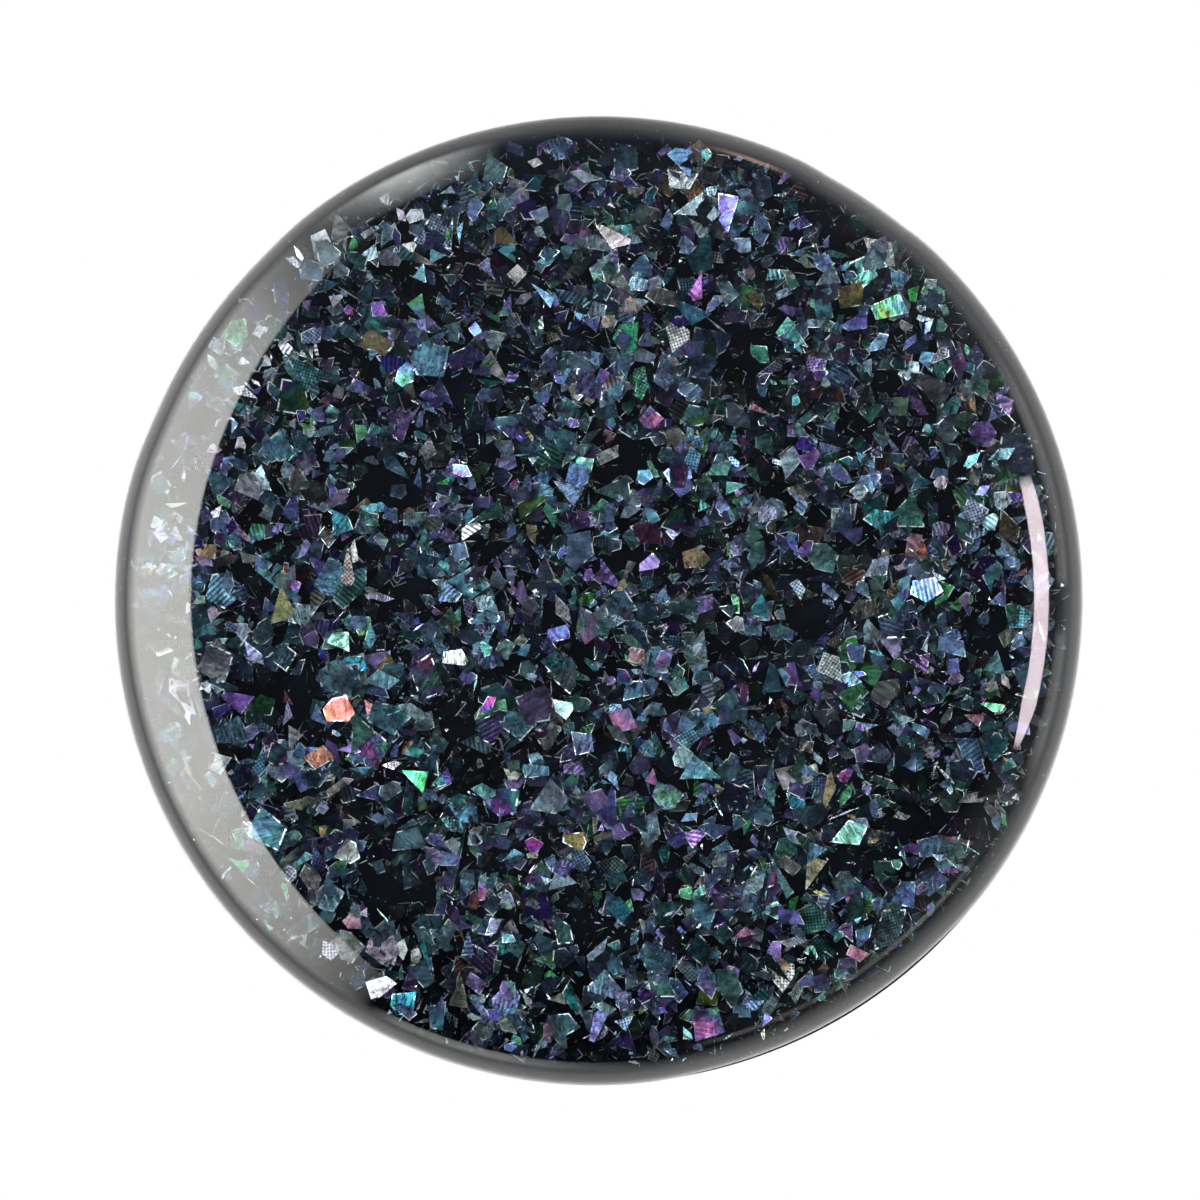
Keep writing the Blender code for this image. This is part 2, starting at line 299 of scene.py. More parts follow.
floor_mesh.materials.append(cloth.material)
floor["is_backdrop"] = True


# ----------------------------------------------------------------- the plate
# A disc stamped from 1.2 mm steel sheet and plated with black nickel. Its edges are
# tumbled smooth, and a fine line parts the grit-blasted back from its polished margin.


def rounded(points, radius, steps=4):
    """A profile with its corners rounded. Each corner P between A and B becomes the
    curve (1-t)^2 (P+cut to A) + 2t(1-t) P + t^2 (P+cut to B), where the cut is the
    radius, or 0.45 of the shorter side if that is less. The two end points stay."""
    points = np.array(points, float)
    before = points[:-2] - points[1:-1]
    after = points[2:] - points[1:-1]
    before_length = np.linalg.norm(before, axis=1)[:, None]
    after_length = np.linalg.norm(after, axis=1)[:, None]
    cut = np.minimum(np.minimum(before_length, after_length) * 0.45, radius)
    corner = points[1:-1][:, None]
    start = corner + (before / before_length * cut)[:, None]
    end = corner + (after / after_length * cut)[:, None]
    t = np.linspace(0, 1, steps + 1)[None, :, None]
    arc = (1 - t) ** 2 * start + 2 * t * (1 - t) * corner + t**2 * end
    return np.vstack([points[:1], arc.reshape(-1, 2), points[-1:]])


def closed(points, radius, steps=4):
    """The same for a profile that closes on itself: all its corners are rounded."""
    return rounded([points[-1], *points, points[0]], radius, steps)[1:-1]


SHARP_ANGLE = math.radians(32)


def solid(name, points, faces):
    """A smooth-shaded object from arrays, with its faces pointing outwards."""
    mesh = bpy.data.meshes.new(name)
    mesh.from_pydata(points.tolist(), [], faces)
    shape = bmesh.new()
    shape.from_mesh(mesh)
    bmesh.ops.recalc_face_normals(shape, faces=shape.faces)
    shape.to_mesh(mesh)
    shape.free()
    mesh.shade_smooth()
    mesh.set_sharp_from_angle(angle=SHARP_ANGLE)
    made = bpy.data.objects.new(name, mesh)
    bpy.context.collection.objects.link(made)
    return made


def turned(name, profile, axis=(0, 0), turns=256, ring=False, warp=None):
    """A surface of revolution about an axis parallel to Y: the point at (t, s) is
    axis + radius(s) * (cos t, sin t) at depth(s). The profile lists (radius, depth).
    An open one begins and ends on the axis; a ring's closes on itself. A warp moves
    the whole grid of points before the mesh is made."""
    profile = np.asarray(profile, float)
    angle = np.arange(turns) * 2 * np.pi / turns
    rows = profile if ring else profile[1:-1]
    grid = np.empty((len(rows), turns, 3))
    grid[..., 0] = rows[:, None, 0] * np.cos(angle)
    grid[..., 1] = rows[:, None, 1]
    grid[..., 2] = rows[:, None, 0] * np.sin(angle)
    if warp:
        grid = warp(grid)
    points = grid.reshape(-1, 3)
    low = np.arange(len(rows) if ring else len(rows) - 1)[:, None] * turns
    high = (low + turns) % len(points)
    here = np.arange(turns)
    there = (here + 1) % turns
    quads = np.stack(np.broadcast_arrays(low + here, high + here, high + there, low + there), -1)
    faces = quads.reshape(-1, 4).tolist()
    if not ring:
        last = len(points) - turns
        poles = len(points) + np.zeros(turns, int)
        faces += np.stack([poles, here, there], 1).tolist()
        faces += np.stack([poles + 1, last + there, last + here], 1).tolist()
        points = np.vstack([points, [[0, profile[0, 1], 0], [0, profile[-1, 1], 0]]])
    return solid(name, points + [axis[0], 0, axis[1]], faces)


def fit(piece, finish, body, node):
    """Gives a piece its finish, its body and the CAD node it stands for."""
    piece.data.materials.append(finish.material)
    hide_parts(node)
    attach(piece, body)


plate_low, plate_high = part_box("back_plate")
FIELD_RADIUS = 17.5 * MM
LINE_WIDTH = 0.24 * MM
LINE_DEPTH = 0.05 * MM
TUMBLED_RADIUS = 0.17 * MM
plate = turned("plate", rounded([
    (0, plate_high.y),
    (FIELD_RADIUS - LINE_WIDTH / 2, plate_high.y),
    (FIELD_RADIUS, plate_high.y - LINE_DEPTH),
    (FIELD_RADIUS + LINE_WIDTH / 2, plate_high.y),
    (plate_high.x, plate_high.y),
    (plate_high.x, plate_low.y),
    (0, plate_low.y),
], TUMBLED_RADIUS, 5))

black_nickel = Finish("black_nickel", (0.05, 0.05, 0.055), metallic=1.0)
spot = black_nickel.place()
x, y, z = black_nickel.split(spot)
field = ((x * x + z * z) ** 0.5 < FIELD_RADIUS) * (y > -LINE_DEPTH / 2)
grit = black_nickel.noise(spot, 0.30 * MM, 4, 0.7)
stain = black_nickel.noise(spot, 6 * MM, 4, 0.6)
swirl = black_nickel.noise(spot, 1.2 * MM, 2)
smoky = black_nickel.spread(stain, 0.35, 0.65)
margin = black_nickel.mix(smoky, (0.030, 0.031, 0.036), (0.085, 0.084, 0.088))
gritty = black_nickel.spread(grit, 0.35, 0.65)
blasted = black_nickel.mix(gritty, (0.045, 0.045, 0.05), (0.21, 0.205, 0.205))
dulled = black_nickel.mix(black_nickel.spread(stain, 0.4, 0.7, 0, 0.35), blasted, (0.07, 0.07, 0.078))
black_nickel.feed("Base Color", black_nickel.mix(field, margin, dulled))
rough = black_nickel.spread(stain, 0.3, 0.7, 0.14, 0.24) + field * (0.14 + grit * 0.14)
black_nickel.feed("Roughness", rough)
black_nickel.bump(field * grit + swirl * 0.15, 0.05 * MM, 0.8)
fit(plate, black_nickel, "pin", "back_plate")
metal_pieces.objects.link(plate)


# ---------------------------------------------------------------- the enamel
# A glossy black ground, flooded over the plate's front and cured, that shows between
# the flakes and as a fine dark line round the edge of the resin.

enamel_low, enamel_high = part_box("black_enamel")
ENAMEL_ROUNDING = 0.06 * MM
enamel = turned("enamel_ground", rounded([
    (0, enamel_high.y),
    (enamel_high.x, enamel_high.y),
    (enamel_high.x, enamel_low.y),
    (0, enamel_low.y),
], ENAMEL_ROUNDING))
black = Finish("black_enamel", (0.004, 0.004, 0.005), ior=1.08)
spot = black.place()
cloud = black.noise(spot, 3 * MM, 3)
ink = black.mix(black.spread(cloud, 0.35, 0.7), (0.002, 0.003, 0.005), (0.006, 0.010, 0.016))
black.feed("Base Color", ink)
black.feed("Roughness", black.spread(cloud, 0.3, 0.7, 0.08, 0.2))
black.bump(black.noise(spot, 0.9 * MM, 2), 0.01 * MM, 0.5)
fit(enamel, black, "pin", "black_enamel")


# ------------------------------------------------------------------ the dome
# Clear resin poured over the flakes. It levels into a nearly flat middle, turns down in
# a tight shoulder and curls under to the plate, and its edge stops short here and there.

DOME_RADIUS = 19.0 * MM
DOME_TUCK = 0.45 * MM
DOME_UNDERCUT = 0.3 * MM
DOME_FULLNESS = 5.0
DOME_SINK = 0.1 * MM
EDGE_DIPS = (
    (146, 15.5, 0.13 * MM),
    (298, 19.5, 0.09 * MM),
    (328, 40, 0.03 * MM),
    (56, 7, 0.08 * MM),
)
dome_ring = dome_high.y - DOME_TUCK
dome_rise = dome_ring - dome_low.y


def dome_surface(radius):
    """Depth of the outer surface: the superellipse (r/R)^n + (h/H)^2 = 1 above the
    widest ring."""
    share = np.clip(radius / DOME_RADIUS, 0, 1)
    return dome_ring - dome_rise * np.sqrt(1 - share**DOME_FULLNESS)


def dome_slope(radius):
    """Its slope: H (n/2) (r/R)^(n-1) / R / sqrt(1 - (r/R)^n)."""
    share = radius / DOME_RADIUS
    steep = dome_rise * DOME_FULLNESS / 2 / DOME_RADIUS
    return steep * share ** (DOME_FULLNESS - 1) / np.sqrt(1 - share**DOME_FULLNESS)


def uneven_edge(grid):
    """Draws the outer tenth of the dome in by flat-bottomed dips round it. Each has a
    middle and a half-width in degrees, and a depth, which falls off as 1/(1 + a^8)."""
    radius = np.hypot(grid[..., 0], grid[..., 2])
    degrees = np.degrees(np.arctan2(grid[..., 2], grid[..., 0]))
    shortfall = np.zeros_like(degrees)
    for middle, half, depth in EDGE_DIPS:
        away = ((degrees - middle + 180) % 360 - 180) / half
        shortfall += depth / (1 + away**8)
    share = np.clip((radius / DOME_RADIUS - 0.9) / 0.1, 0, 1)
    scale = 1 - share * shortfall / np.maximum(radius, 1e-6)
    return grid * np.stack([scale, np.ones_like(scale), scale], -1)


lean = np.radians(np.linspace(90, 0, 9))
tuck = dome_ring + DOME_TUCK * np.sin(lean)
curl = np.stack([DOME_RADIUS - DOME_UNDERCUT * (1 - np.cos(lean)), tuck], 1)
up = np.sin(np.linspace(0, np.pi / 2, 72)[1:])
arch = np.stack([DOME_RADIUS * (1 - up**2) ** (1 / DOME_FULLNESS), dome_ring - dome_rise * up], 1)
sole = dome_high.y + DOME_SINK
foot = [(0, sole), (DOME_RADIUS - DOME_UNDERCUT, sole)]
dome = turned("resin_dome", np.vstack([foot, curl, arch]), turns=360, warp=uneven_edge)

resin = Finish("clear_resin", (1.0, 1.0, 1.0), ior=1.5, transmission_weight=1.0)
spot = resin.place()
dust = resin.noise(spot, 0.12 * MM, 0)
resin.feed("Roughness", resin.spread(dust, 0.80, 0.86, 0.0, 0.3))
resin.bump(resin.noise(spot, 9 * MM, 1), 0.02 * MM, 0.5)
fit(dome, resin, "pin", "clear_dome")


# ----------------------------------------------------- what the dome mirrors
# Cards of light that only the dome's surface picks up: the haze on its left shoulder,
# the strip on the right with a dim band beside it, and the white room round its rim.

mirrored_by = bpy.data.collections.new("mirrored_by")
mirrored_by.objects.link(dome)
CARD_REACH = 5 * MM
CARD_COLUMNS = 41
HAZE_EDGE = 0.971 * DOME_RADIUS


def card(name, degrees, inner, outer, radiance, fade, colour=(1, 1, 1)):
    """A card that the camera sees mirrored in the dome between two radii, over a range
    of angles. For the dome's point P with the normal n and the line of sight v, the
    card's point is P + reach (v - 2 (v.n) n). It glows through, and fades in over a
    share of its width at each side."""
    share = np.linspace(0, 1, CARD_COLUMNS)[None, :]
    angle = np.radians(degrees)[:, None]
    inner = np.broadcast_to(inner, degrees.shape)[:, None]
    outer = np.broadcast_to(outer, degrees.shape)[:, None]
    radius = inner + (outer - inner) * share
    slope = dome_slope(radius)
    spot = np.stack([radius * np.cos(angle), dome_surface(radius), radius * np.sin(angle)], -1)
    normal = np.stack([slope * np.cos(angle), -np.ones_like(slope), slope * np.sin(angle)], -1)
    normal /= np.linalg.norm(normal, axis=-1, keepdims=True)
    sight = spot - np.array(camera.location)
    sight /= np.linalg.norm(sight, axis=-1, keepdims=True)
    mirrored = sight - 2 * np.sum(sight * normal, -1, keepdims=True) * normal
    points = (spot + mirrored * CARD_REACH).reshape(-1, 3)
    near = np.arange(len(degrees) - 1)[:, None] * CARD_COLUMNS
    far = near + CARD_COLUMNS
    k = np.arange(CARD_COLUMNS - 1)
    quads = np.stack(np.broadcast_arrays(near + k, near + k + 1, far + k + 1, far + k), -1)
    mesh = bpy.data.meshes.new(name)
    mesh.from_pydata(points.tolist(), [], quads.reshape(-1, 4).tolist())
    edges = np.minimum(1, share / fade[0]) * np.minimum(1, (1 - share) / fade[1])
    glow = (np.asarray(radiance)[:, None] * edges).astype(np.float32)
    mesh.attributes.new("glow", "FLOAT", "POINT").data.foreach_set("value", glow.ravel())
    made = bpy.data.objects.new(name, mesh)
    bpy.context.collection.objects.link(made)
    material = bpy.data.materials.new(name)
    material.use_nodes = True
    material.cycles.emission_sampling = "NONE"
    light = Nodes(material.node_tree)
    amount = light.node("ShaderNodeAttribute", {"attribute_name": "glow"}, {}, "Fac")
    shine = light.node("ShaderNodeEmission", {}, {"Color": (*colour, 1), "Strength": amount})
    clear = light.node("ShaderNodeBsdfTransparent")
    both = light.node("ShaderNodeAddShader", {}, {0: shine, 1: clear})
    plug(light.tree, light.tree.nodes["Material Output"].inputs["Surface"], both)
    mesh.materials.append(material)
    made.visible_camera = False
    made.visible_diffuse = False
    made.visible_transmission = False
    made.visible_shadow = False
    made.light_linking.receiver_collection = mirrored_by
    made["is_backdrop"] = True


degrees = np.linspace(124, 241, 118)
inner = 0.830 + 0.055 * np.abs((degrees - 180) / 60) ** 2.5
radiance = np.interp(
    degrees,
    [124, 131, 136, 142, 150, 180, 205, 224, 236, 238, 241],
    [0.0, 2.6, 4.2, 7.0, 9.6, 11.8, 11.4, 7.6, 2.8, 2.0, 0.0],
)
card("left_haze", degrees, inner * DOME_RADIUS, HAZE_EDGE, radiance, (0.04, 0.15), (1.0, 1.0, 0.955))

degrees = np.linspace(102, 128, 53)
radiance = np.interp(
    degrees,
    [102, 105, 109, 113, 117, 121, 128],
    [0.0, 2.0, 5.5, 10.0, 9.0, 4.0, 0.0],
)
card("left_tip", degrees, 0.900 * DOME_RADIUS, HAZE_EDGE, radiance, (0.8, 0.12), (0.95, 1.0, 0.98))

degrees = np.linspace(241, 277, 73)
radiance = np.interp(degrees, [241, 245, 256, 268, 277], [0.0, 2.8, 3.4, 1.2, 0.0])
card("low_line", degrees, 0.951 * DOME_RADIUS, HAZE_EDGE, radiance, (0.2, 0.35), (0.95, 1.0, 0.93))

degrees = np.linspace(281, 329, 97)
radiance = np.interp(degrees, [281, 288, 300, 316, 329], [0.0, 1.3, 0.8, 2.0, 0.0])
card("low_thread", degrees, 0.938 * DOME_RADIUS, 0.950 * DOME_RADIUS, radiance, (0.25, 0.35))

degrees = np.linspace(-20, 16, 73)
inner = np.interp(degrees, [-20, -14, 12, 16], [0.909, 0.897, 0.897, 0.901])
outer = np.interp(degrees, [-20, -14, 12, 16], [0.920, 0.931, 0.931, 0.927])
radiance = np.interp(degrees, [-20, -18.5, 14, 16], [0, 17, 19, 0])
card(
    "right_strip", degrees, inner * DOME_RADIUS, outer * DOME_RADIUS, radiance,
    (0.1, 0.1), (1.0, 0.83, 0.90),
)

degrees = np.linspace(-24, 90, 229)
radiance = np.interp(
    degrees,
    [-24, -18, -5.0, -3.5, 1.0, 2.5, 26, 34, 60, 90],
    [0.0, 2.1, 2.1, 0.3, 0.3, 2.1, 2.1, 0.7, 0.3, 0.0],
)
card("right_band", degrees, 0.943 * DOME_RADIUS, 0.972 * DOME_RADIUS, radiance, (0.35, 0.3))

degrees = np.linspace(278, 420, 143)
radiance = np.interp(
    degrees,
    [278, 300, 330, 350, 370, 385, 410, 420],
    [0.0, 0.3, 0.5, 0.3, 0.2, 0.3, 0.2, 0.0],
)
card(
    "right_veil", degrees, 0.86 * DOME_RADIUS, 0.975 * DOME_RADIUS, radiance,
    (0.8, 0.1), (1.0, 0.98, 0.94),
)

degrees = np.linspace(65, 77, 49)
radiance = np.interp(degrees, [65, 70, 77], [0, 6.5, 0])
card(
    "top_streak", degrees, 0.953 * DOME_RADIUS, 0.964 * DOME_RADIUS, radiance,
    (0.3, 0.3), (1.0, 0.6, 0.48),
)

degrees = np.linspace(0, 360, 361)
radiance = np.interp(
    degrees,
    [0, 30, 60, 90, 120, 150, 180, 210, 240, 270, 300, 330, 360],
    [1.6, 1.0, 1.1, 0.15, 0.9, 2.0, 2.5, 2.8, 2.5, 2.0, 2.3, 2.1, 1.6],
)
card("white_room", degrees, 0.955 * DOME_RADIUS, 0.9995 * DOME_RADIUS, radiance, (0.56, 0.001))


# ---------------------------------------------------------------- the flakes
# Opal film a few hundredths of a millimetre thick, broken into straight-sided shards
# and stirred into the resin. Each shard shows one interference colour, or hardly any.

bed_low, bed_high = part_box("flake_bed")
FILM_THICKNESS = 0.02 * MM
FILM_GROUND = enamel_low.y - 0.06 * MM
FILM_ROOF = 0.12 * MM
SIZE_LIMITS = (0.07, 2.3)
CORNER_JITTER = 0.4
TINT_JITTER = 0.07
# painted highlight: the share, brightness and whiteness of shards near the strong left lamp
BRIGHTEST = 0.36
PAINTED_GLINT_SHARE = 0.13
PAINTED_GLINT_LEVEL = 0.75
PAINTED_GLINT_WHITE = 0.68
SHEET_WIDTH = 50 * MM
random = np.random.default_rng(38)

# each film's share of the shards, its colour, and how bright it is beside the others
FILMS = np.array([
    (24, 0.28, 0.52, 1.00, 0.9),
    (22, 0.24, 0.70, 1.00, 1.0),
    (14, 0.48, 0.78, 1.00, 1.3),
    (8, 0.24, 0.92, 0.88, 1.0),
    (9, 0.28, 0.32, 1.00, 0.9),
    (6, 0.46, 0.36, 1.00, 1.1),
    (5, 0.82, 0.88, 0.84, 1.1),
    (5, 0.80, 0.90, 1.00, 1.7),
    (2.4, 0.16, 1.00, 0.42, 1.4),
    (0.8, 1.00, 0.54, 0.70, 1.3),
    (0.9, 1.00, 0.42, 0.30, 1.1),
    (1.6, 1.00, 0.84, 0.42, 1.5),
    (3.0, 0.06, 0.56, 0.72, 0.9),
    (2.4, 0.13, 0.09, 0.75, 0.9),
    (1.2, 0.20, 0.24, 1.00, 1.7),
    (1.0, 0.50, 0.26, 1.00, 1.6),
])


def crowding(x, z):
    """How thickly the shards lie at a place, from about -1 to 1: a sum of slanting
    waves 3 to 8 mm long."""
    total = np.zeros_like(x)
    waves = ((5.1, 0.4, 0.3), (3.9, 1.7, 2.1), (7.8, 2.6, 4.0), (3.1, 0.9, 1.2), (4.6, 2.2, 5.1))
    for length, slant, phase in waves:
        along = x * math.cos(slant) + z * math.sin(slant)
        total += np.sin(2 * np.pi * along / (length * MM) + phase)
    return total / len(waves) * 1.6


def shards(name, count, corners, size, slimness, depths, tilt, brightness, pallor, patchy):
    """A cast of flat shards. Corner k of a shard lies at the angle 2 pi (k + jitter)/n,
    in a plane through its centre whose normal leans off the face's axis. A second ring
    of corners, the film's thickness behind, closes it. Sizes and brightnesses are
    (median, spread) of log-normal draws, in millimetres and as reflectance, pallor is
    the mean share of white in the colours, and patchy how far the crowding thins them out.
    A few shards at the left edge are painted pale and bright, a painted highlight from the strong lamp;
    they are not turned towards it."""
    tries = count * 4
    across = np.exp(random.normal(math.log(size[0]), size[1], tries)).clip(*SIZE_LIMITS) * MM / 2
    radius = (bed_high.x - across * 0.9) * np.sqrt(random.random(tries))
    around = random.random(tries) * 2 * np.pi
    x, z = radius * np.cos(around), radius * np.sin(around)
    thinned = patchy * (crowding(x, z) + 0.35) + random.normal(0, 0.7, tries)
    keep = np.flatnonzero(thinned > 0)[:count]
    x, z, across, count = x[keep], z[keep], across[keep], len(keep)

    jitter = random.uniform(-CORNER_JITTER, CORNER_JITTER, (count, corners))
    angle = 2 * np.pi * (np.arange(corners) + jitter) / corners
    reach = across[:, None] * random.uniform(0.62, 1.0, (count, corners))
    slim = random.uniform(*slimness, count)[:, None]
    flat = np.stack([reach * np.cos(angle), reach * np.sin(angle) * slim], -1)
    turn = random.random(count) * 2 * np.pi
    lean = np.abs(random.normal(0, tilt, count))
    way = random.random(count) * 2 * np.pi
    normal = np.stack([np.sin(lean) * np.cos(way), -np.cos(lean), np.sin(lean) * np.sin(way)], -1)
    first = np.stack([np.cos(turn), np.zeros(count), np.sin(turn)], -1)
    first -= normal * np.sum(first * normal, -1, keepdims=True)
    first /= np.linalg.norm(first, axis=-1, keepdims=True)
    second = np.cross(normal, first)
    y = depths[0] + (depths[1] - depths[0]) * random.beta(1.2, 1.2, count)
    middle = np.stack([x, y, z], -1)[:, None]
    front = middle + flat[..., :1] * first[:, None] + flat[..., 1:] * second[:, None]
    behind = front - normal[:, None] * FILM_THICKNESS
    points = np.concatenate([front.mean(1, keepdims=True), front, behind], 1)
    roof = dome_surface(np.hypot(points[..., 0], points[..., 2])) + FILM_ROOF
    points[..., 1] = np.clip(points[..., 1], roof, FILM_GROUND + 0.04 * MM)

    each = 1 + 2 * corners
    base = np.arange(count)[:, None] * each + 1
    k = np.arange(corners)
    after = (k + 1) % corners
    fans = np.stack(np.broadcast_arrays(base - 1, base + k, base + after), -1).reshape(-1, 3)
    sides = np.stack(np.broadcast_arrays(
        base + k, base + corners + k, base + corners + after, base + after,
    ), -1).reshape(-1, 4)
    backs = (base + corners + k[::-1]).reshape(-1, corners)
    mesh = bpy.data.meshes.new(name)
    faces = fans.tolist() + sides.tolist() + backs.tolist()
    mesh.from_pydata(points.reshape(-1, 3).tolist(), [], faces)

    film = FILMS[random.choice(len(FILMS), count, p=FILMS[:, 0] / FILMS[:, 0].sum())]
    level = np.exp(random.normal(math.log(brightness[0]), brightness[1], count)) * film[:, 4]
    # painted highlight: a share of the shards near the strong left lamp get a brighter, whiter colour
    leftmost = (np.hypot(x, z) > 0.83 * bed_high.x) & (x < -0.38 * bed_high.x)
    facing = leftmost & (random.random(count) < PAINTED_GLINT_SHARE)
    level = np.where(facing, PAINTED_GLINT_LEVEL, np.minimum(level, BRIGHTEST))
    white = np.where(facing, PAINTED_GLINT_WHITE, random.exponential(pallor, count).clip(0, 0.8))[:, None]
    tint = film[:, 1:4] * np.exp(random.normal(0, TINT_JITTER, (count, 3))) * (1 - white) + white
    colour = np.ones((count, each, 4), np.float32)
    colour[..., :3] = (tint * level[:, None]).clip(0, 0.8)[:, None]
    mesh.attributes.new("film_colour", "FLOAT_COLOR", "POINT").data.foreach_set("color", colour.ravel())
    luck = np.repeat(random.random(count), each).astype(np.float32)
    mesh.attributes.new("film_luck", "FLOAT", "POINT").data.foreach_set("value", luck)
    rim = np.tile(np.r_[0, np.ones(2 * corners)], count).astype(np.float32)
    mesh.attributes.new("film_rim", "FLOAT", "POINT").data.foreach_set("value", rim)
    sheet = np.concatenate([flat.mean(1, keepdims=True), flat, flat], 1)
    sheet += random.uniform(0, SHEET_WIDTH, (count, 1, 2))
    corner_points = np.empty(len(mesh.loops), np.int32)
    mesh.loops.foreach_get("vertex_index", corner_points)
    layout = (sheet.reshape(-1, 2)[corner_points] / MM).astype(np.float32)
    mesh.uv_layers.new(name="film").data.foreach_set("uv", layout.ravel())
    made = bpy.data.objects.new(name, mesh)
    bpy.context.collection.objects.link(made)
    return made


GRATING_PITCH = 0.17


def film(name, metal, rough, edge):
    """Opal film: the shard's own colour, mottled, drifting in hue across it (one in ten
    of them far round the rainbow), and here and there ruled or dotted by a fine
    grating, with a pale painted glint along parts of its edges, as strong as edge
    says. The sheet's coordinates are in millimetres, and each shard's luck, from 0
    to 1, says which of these it gets."""
    made = Finish(name, (0.1, 0.15, 0.2), metallic=metal, ior=1.15)
    colour = made.node("ShaderNodeAttribute", {"attribute_name": "film_colour"}, {}, "Color")
    luck = made.node("ShaderNodeAttribute", {"attribute_name": "film_luck"}, {}, "Fac")
    rim = made.node("ShaderNodeAttribute", {"attribute_name": "film_rim"}, {}, "Fac")
    sheet = made.node("ShaderNodeUVMap", {"uv_map": "film"})
    u, v, _ = made.split(sheet)
    pitch = 2 * math.pi / GRATING_PITCH
    ruled = (u * pitch).sine()
    dotted = ruled * (v * pitch).sine()
    has_lines = (luck > 0.90) * (luck < 0.95)
    lines = made.spread(ruled, -0.4, 0.6, -0.55, 0.6) * has_lines
    dots = made.spread(dotted, -0.3, 0.35, -0.6, 0.7) * (luck > 0.95)
    spot = made.place()
    mottle = made.noise(spot, 0.2 * MM, 4, 0.7)
    along = made.node("ShaderNodeVectorMath", {"operation": "MULTIPLY"}, {0: sheet, 1: (1, 0.22, 1)})
    streak = made.noise(along, 0.16, 2, 0.6)
    sway = made.noise(spot, 0.8 * MM, 1)
    level = (1 + lines + dots) * made.spread(mottle, 0.3, 0.7, 0.5, 1.5)
    level = level * made.spread(streak, 0.35, 0.65, 0.6, 1.4) * made.spread(sway, 0.3, 0.7, 0.45, 1.6)
    grey = made.node("ShaderNodeCombineXYZ", {}, {"X": level, "Y": level, "Z": level})
    shaded = made.mix(1.0, colour, grey, "MULTIPLY")
    drift = made.spread(made.noise(spot, 0.9 * MM, 1), 0.3, 0.7, -0.035, 0.035)
    rainbow = 6 * (luck > 0.30) * (luck < 0.40)
    hue = 0.5 + drift * (1 + rainbow)
    hued = made.node("ShaderNodeHueSaturation", {}, {"Hue": hue, "Color": shaded})
    # painted highlight: pale glints painted along parts of each shard's edges
    painted_edge_glint = made.spread(made.noise(spot, 0.4 * MM, 2), 0.54, 0.60, 0, edge)
    made.feed("Base Color", made.mix((rim > 0.90) * painted_edge_glint, hued, (0.72, 0.86, 0.88)))
    made.feed("Roughness", made.spread(mottle, 0.3, 0.7, rough * 0.7, rough * 1.3))
    made.bump(streak + made.noise(sheet, 0.35, 2), 0.04 * MM, 0.6)
    return made


deep_film = film("deep_film", 0.7, 0.36, 0.3)
upper_film = film("upper_film", 0.75, 0.28, 0.8)
sliver_film = film("sliver_film", 0.85, 0.2, 0.9)

half_way = (FILM_GROUND + bed_low.y) / 2
deepest = (FILM_GROUND, FILM_GROUND - 0.15 * MM)
deep, upper, whole = (FILM_GROUND, half_way), (half_way, bed_low.y), (FILM_GROUND, bed_low.y)
BROAD, SLIM, NEEDLE = (0.34, 1.0), (0.15, 0.9), (0.05, 0.16)
# painted shade: the brightness falls with depth, ground shards darkest and upper shards brightest, for
# the shade under the shards above
CASTS = (
    ("ground_shards", 4, 1100, (1.00, 0.35), BROAD, deepest, 0.08, (0.010, 0.6), 0.1, 0, deep_film),
    ("deep_shards", 3, 450, (1.20, 0.34), BROAD, deep, 0.13, (0.040, 0.9), 0.06, 1, deep_film),
    ("deep_shards", 4, 1300, (1.18, 0.34), BROAD, deep, 0.13, (0.040, 0.9), 0.06, 1, deep_film),
    ("deep_shards", 5, 800, (1.18, 0.34), BROAD, deep, 0.13, (0.040, 0.9), 0.06, 1, deep_film),
    ("upper_shards", 3, 380, (1.08, 0.37), BROAD, upper, 0.17, (0.120, 0.85), 0.08, 1, upper_film),
    ("upper_shards", 4, 1000, (1.04, 0.37), BROAD, upper, 0.17, (0.120, 0.85), 0.08, 1, upper_film),
    ("upper_shards", 5, 560, (1.04, 0.37), BROAD, upper, 0.17, (0.120, 0.85), 0.08, 1, upper_film),
    ("upper_shards", 6, 140, (1.08, 0.32), (0.7, 1.0), upper, 0.17, (0.13, 0.8), 0.08, 1, upper_film),
    ("crumbs", 3, 750, (0.27, 0.45), SLIM, whole, 0.35, (0.32, 0.8), 0.5, 1, sliver_film),
    ("crumbs", 4, 850, (0.25, 0.45), SLIM, whole, 0.35, (0.32, 0.8), 0.5, 1, sliver_film),
    ("slivers", 4, 1500, (0.55, 0.40), NEEDLE, whole, 0.20, (0.30, 0.7), 0.4, 1, sliver_film),
    ("dust", 3, 1800, (0.12, 0.25), SLIM, whole, 0.35, (0.22, 0.8), 0.4, 0, sliver_film),
)
for word, corners, count, *traits, finish in CASTS:
    cast = shards(f"{word}_{corners}", count, corners, *traits)
    fit(cast, finish, "pin", "flake_bed")


# ----------------------------------------------------------------- the posts
# Needles of drawn steel with a head that is welded flat to the plate, a groove that the
# clutch's balls drop into, and a ground point.

STEEL_COLOUR = (0.54, 0.54, 0.53)
SHANK_RADIUS = 0.6 * MM
GROOVE_DEPTH = 0.09 * MM


